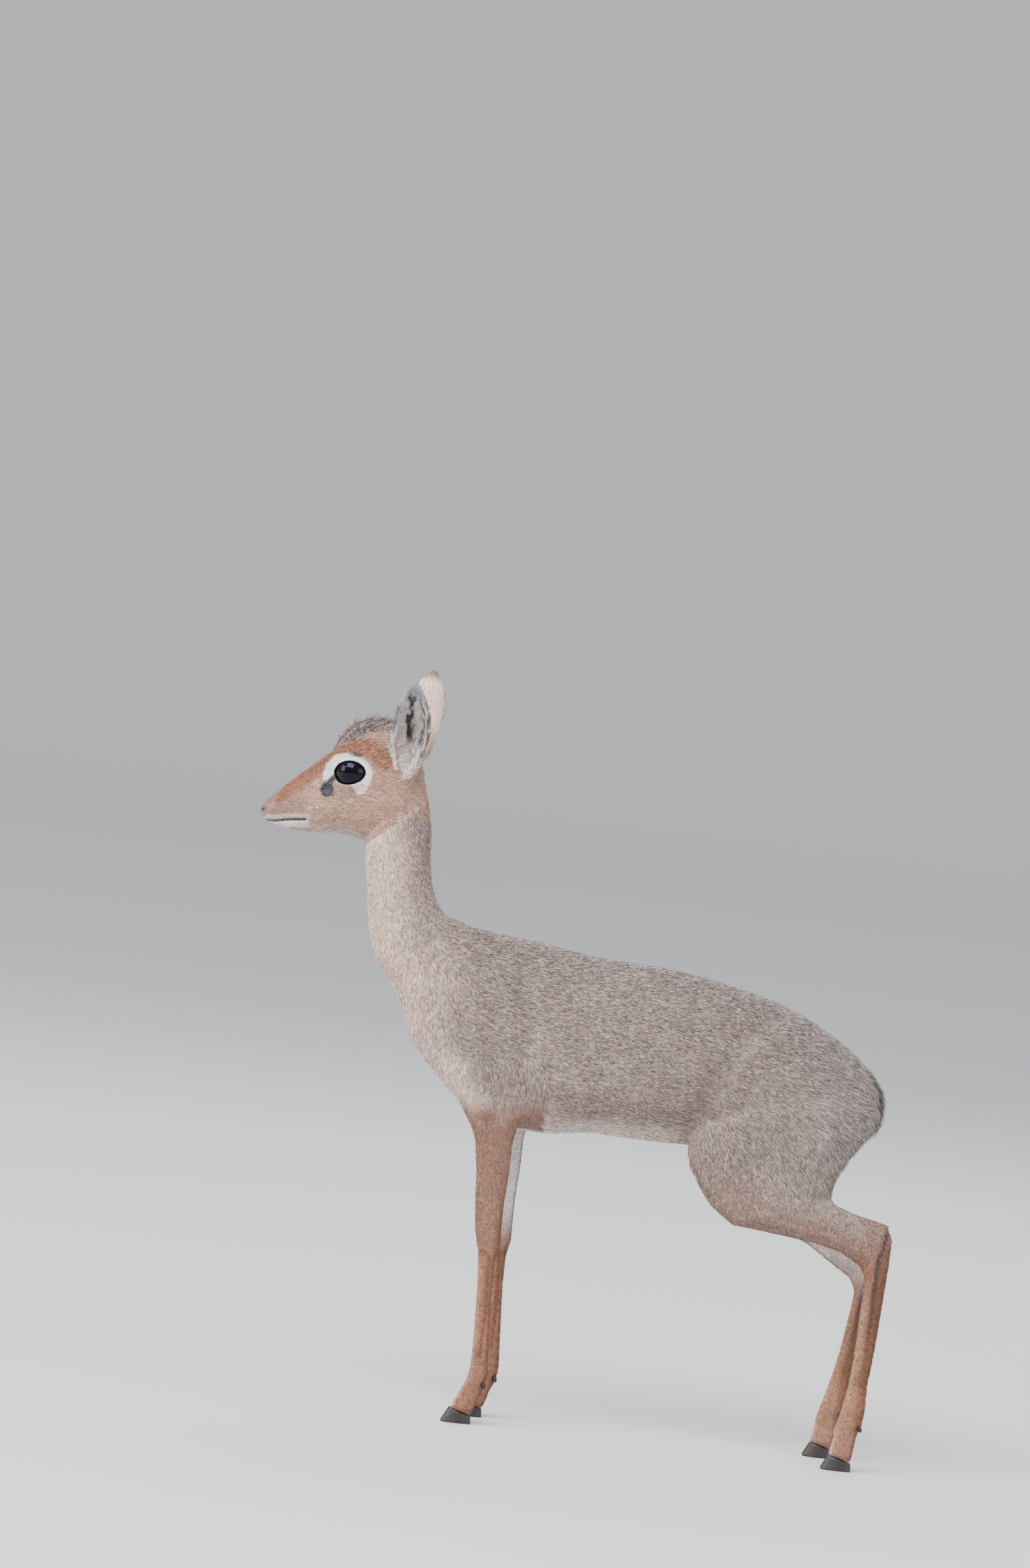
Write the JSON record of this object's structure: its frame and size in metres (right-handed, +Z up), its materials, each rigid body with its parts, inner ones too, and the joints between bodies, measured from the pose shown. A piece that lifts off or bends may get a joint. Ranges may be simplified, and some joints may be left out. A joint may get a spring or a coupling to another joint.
{
  "type": "dik-dik",
  "caption": "Life-size still model of a dik-dik, a very small antelope, standing alert with its neck raised and its ears spread.",
  "frame": {"origin": "middle of the floor under the animal", "axes": "+Z up, the animal faces -X, its left side faces -Y"},
  "size_m": [0.5162, 0.1204, 0.5616],
  "materials": {
    "fur_grizzled": "short dense grey-brown fur with pale and dark ticking",
    "fur_buff": "very short buff and rufous fur of the face and ears",
    "fur_rufous": "very short sleek tan and rufous fur of the lower legs",
    "fur_dark": "dark grizzled fur of the tail",
    "nose_skin": "velvety pinkish-brown skin",
    "hoof_horn": "dark horn, worn satin",
    "eye": "wet, very dark brown, high gloss"
  },
  "bodies": {
    "root": {"head": "fur_buff", "nose": "nose_skin", "lower_jaw": "fur_buff", "ear_left": "fur_buff", "ear_right": "fur_buff", "eye_left": "eye", "eye_right": "eye", "neck": "fur_grizzled", "trunk": "fur_grizzled", "tail": "fur_dark", "upper_foreleg_left": "fur_grizzled", "upper_foreleg_right": "fur_grizzled", "lower_foreleg_left": "fur_rufous", "lower_foreleg_right": "fur_rufous", "upper_hindleg_left": "fur_grizzled", "upper_hindleg_right": "fur_grizzled", "lower_hindleg_left": "fur_rufous", "lower_hindleg_right": "fur_rufous", "hoof_fore_left_inner": "hoof_horn", "hoof_fore_left_outer": "hoof_horn", "hoof_fore_right_inner": "hoof_horn", "hoof_fore_right_outer": "hoof_horn", "hoof_hind_left_inner": "hoof_horn", "hoof_hind_left_outer": "hoof_horn", "hoof_hind_right_inner": "hoof_horn", "hoof_hind_right_outer": "hoof_horn", "dewclaw_fore_left_inner": "hoof_horn", "dewclaw_fore_left_outer": "hoof_horn", "dewclaw_fore_right_inner": "hoof_horn", "dewclaw_fore_right_outer": "hoof_horn", "dewclaw_hind_left_inner": "hoof_horn", "dewclaw_hind_left_outer": "hoof_horn", "dewclaw_hind_right_inner": "hoof_horn", "dewclaw_hind_right_outer": "hoof_horn"}
  },
  "joints": []
}
